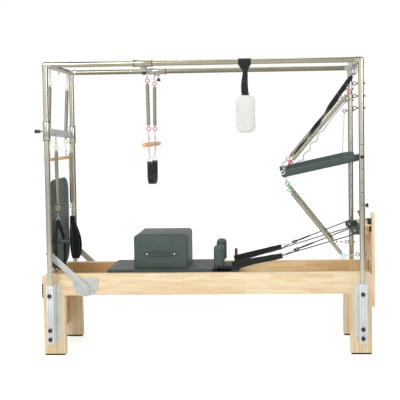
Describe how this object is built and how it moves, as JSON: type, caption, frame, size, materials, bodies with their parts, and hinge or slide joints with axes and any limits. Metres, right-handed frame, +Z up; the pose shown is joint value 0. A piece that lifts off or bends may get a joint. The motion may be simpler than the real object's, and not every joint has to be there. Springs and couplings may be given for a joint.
{
  "type": "pilates trapeze table",
  "caption": "Wooden spring table under a steel tube frame, with a sliding padded carriage, footbar, jump board, push-through bar, hanging springs, bars, straps and loops.",
  "frame": {"origin": "centre of the whole part's footprint, on the floor under the legs", "axes": "+X along the table from the foot end, which has the footbar and jump board, to the head end, +Y across the table to the picture's far side, +Z up"},
  "size_m": [2.432, 0.773, 2.132],
  "materials": {
    "maple": "clear satin lacquer",
    "grip_wood": "clear satin lacquer",
    "tube_steel": "warm brushed",
    "plate_steel": "fine brushed",
    "socket_aluminium": "satin",
    "track_aluminium": "satin anodised",
    "arm_enamel": "speckled silver, low gloss",
    "black_enamel": "satin black",
    "spring_steel": "bright drawn wire",
    "chain_steel": "bright zinc",
    "vinyl": "matte grained upholstery",
    "grip_foam": "matte cellular",
    "black_webbing": "flat woven",
    "rope_fibre": "braided",
    "sheepskin": "deep fleece pile",
    "wheel_plastic": "moulded",
    "pulley_plastic": "moulded"
  },
  "bodies": {
    "bed_and_frame": {"side_frame_front": "maple", "side_frame_rear": "maple", "foot_end_panel": "maple", "head_end_boards": "maple", "carriage_tracks": "track_aluminium", "post_foot_front": "tube_steel", "post_foot_rear": "tube_steel", "post_head_front": "tube_steel", "post_head_rear": "tube_steel", "post_socket_foot_front": "socket_aluminium", "post_socket_foot_rear": "socket_aluminium", "post_socket_head_front": "socket_aluminium", "post_socket_head_rear": "socket_aluminium", "top_frame": "tube_steel", "strap_anchor_plate": "plate_steel", "footbar_quadrant_front": "plate_steel", "footbar_quadrant_rear": "plate_steel", "pulley_housings": "black_enamel", "side_leash": "black_webbing", "push_spring_upper_front": "spring_steel", "push_spring_upper_rear": "spring_steel", "push_spring_lower_front": "spring_steel", "push_spring_lower_rear": "spring_steel", "safety_strap": "black_webbing", "safety_chain_front": "chain_steel", "safety_chain_rear": "chain_steel"},
    "carriage": {"carriage_base": "maple", "carriage_pad": "vinyl", "shoulder_rest_front": "vinyl", "shoulder_rest_rear": "vinyl", "carriage_springs": "spring_steel", "rope_front": "rope_fibre", "rope_rear": "rope_fibre", "strap_loop_front": "black_webbing", "strap_loop_rear": "black_webbing"},
    "foot_end_wheelset": {"wheelset_foot": "wheel_plastic"},
    "head_end_wheelset": {"wheelset_head": "wheel_plastic"},
    "front_pulley": {"pulley_wheel_front": "pulley_plastic"},
    "rear_pulley": {"pulley_wheel_rear": "pulley_plastic"},
    "headrest_flap": {"headrest": "vinyl"},
    "box": {"sitting_box": "vinyl"},
    "footbar_assembly": {"footbar": "arm_enamel", "footbar_pad": "vinyl"},
    "jump_board_assembly": {"jump_board": "maple"},
    "crossbar_assembly": {"crossbar": "tube_steel"},
    "hand_strap_assembly": {"hand_spring": "spring_steel", "hand_strap": "black_webbing"},
    "foot_loop_assembly": {"foot_spring": "spring_steel", "foot_loop": "black_webbing"},
    "roll_down_assembly": {"roll_down_spring_front": "spring_steel", "roll_down_spring_rear": "spring_steel", "roll_down_bar": "grip_wood"},
    "bridge": {"trapeze_bridge": "tube_steel"},
    "trapeze_assembly": {"trapeze_spring_front": "spring_steel", "trapeze_spring_rear": "spring_steel", "trapeze_bar": "grip_wood", "trapeze_sling": "black_webbing"},
    "fleece_loop": {"fleece_strap": "black_webbing", "fleece_pad": "sheepskin"},
    "push_through_bar": {"push_bar": "black_enamel"}
  },
  "joints": [
    {"name": "carriage_slide", "type": "slide", "parent": "bed_and_frame", "child": "carriage", "axis": [1, 0, 0], "range_m": [0, 0.78], "deforming": ["rope_front", "rope_rear", "strap_loop_front", "strap_loop_rear"]},
    {"name": "foot_end_wheel_roll", "type": "hinge", "parent": "carriage", "child": "foot_end_wheelset", "pos_m": [-0.6, 0, 0.5243], "axis": [0, 1, 0], "range_deg": [-1, 1865]},
    {"name": "head_end_wheel_roll", "type": "hinge", "parent": "carriage", "child": "head_end_wheelset", "pos_m": [0.16, 0, 0.5243], "axis": [0, 1, 0], "range_deg": [-1, 1865]},
    {"name": "front_pulley_spin", "type": "hinge", "parent": "bed_and_frame", "child": "front_pulley", "pos_m": [1.083, -0.19, 0.886], "axis": [0, 1, 0], "continuous": true},
    {"name": "rear_pulley_spin", "type": "hinge", "parent": "bed_and_frame", "child": "rear_pulley", "pos_m": [1.083, 0.19, 0.886], "axis": [0, 1, 0], "continuous": true},
    {"name": "headrest_tilt", "type": "hinge", "parent": "carriage", "child": "headrest_flap", "pos_m": [0.06, 0, 0.61], "axis": [0, -1, 0], "range_deg": [0, 30]},
    {"name": "box_lift", "type": "slide", "parent": "carriage", "child": "box", "axis": [0, 0, 1], "range_m": [0, 0.3]},
    {"name": "footbar_swing", "type": "hinge", "parent": "bed_and_frame", "child": "footbar_assembly", "pos_m": [-0.862, 0, 0.492], "axis": [0, -1, 0], "range_deg": [0, 27]},
    {"name": "jump_board_lift", "type": "slide", "parent": "bed_and_frame", "child": "jump_board_assembly", "axis": [0, 0, 1], "range_m": [0, 0.12]},
    {"name": "crossbar_height", "type": "slide", "parent": "bed_and_frame", "child": "crossbar_assembly", "axis": [0, 0, 1], "range_m": [-0.05, 0.012]},
    {"name": "hand_strap_swing", "type": "hinge", "parent": "crossbar_assembly", "child": "hand_strap_assembly", "pos_m": [-1.102, -0.17, 1.5865], "axis": [0, -1, 0], "range_deg": [0, 30]},
    {"name": "foot_loop_swing", "type": "hinge", "parent": "crossbar_assembly", "child": "foot_loop_assembly", "pos_m": [-1.094, 0.197, 1.5714], "axis": [0, -1, 0], "range_deg": [0, 28]},
    {"name": "roll_down_swing", "type": "hinge", "parent": "bed_and_frame", "child": "roll_down_assembly", "pos_m": [-1.116, 0, 2.076], "axis": [0, 1, 0], "range_deg": [0, 20]},
    {"name": "bridge_slide", "type": "slide", "parent": "bed_and_frame", "child": "bridge", "axis": [1, 0, 0], "range_m": [-0.3, 0.55]},
    {"name": "trapeze_swing", "type": "hinge", "parent": "bridge", "child": "trapeze_assembly", "pos_m": [-0.416, 0, 2.0615], "axis": [0, 1, 0], "range_deg": [-25, 25]},
    {"name": "fleece_loop_swing", "type": "hinge", "parent": "bed_and_frame", "child": "fleece_loop", "pos_m": [0.303, -0.352, 2.107], "axis": [1, 0, 0], "range_deg": [-30, 30]},
    {"name": "push_bar_swing", "type": "hinge", "parent": "bed_and_frame", "child": "push_through_bar", "pos_m": [1.116, 0, 1.426], "axis": [0, 1, 0], "range_deg": [-30, 35], "stiffness_Nm_per_rad": 300, "springref_deg": 4.01, "deforming": ["push_spring_upper_front", "push_spring_upper_rear", "push_spring_lower_front", "push_spring_lower_rear", "safety_strap", "safety_chain_front", "safety_chain_rear"]}
  ],
  "couplings": [
    {"joint": "foot_end_wheel_roll", "follows": "carriage_slide", "rad_per_m": 41.667},
    {"joint": "head_end_wheel_roll", "follows": "carriage_slide", "rad_per_m": 41.667}
  ]
}
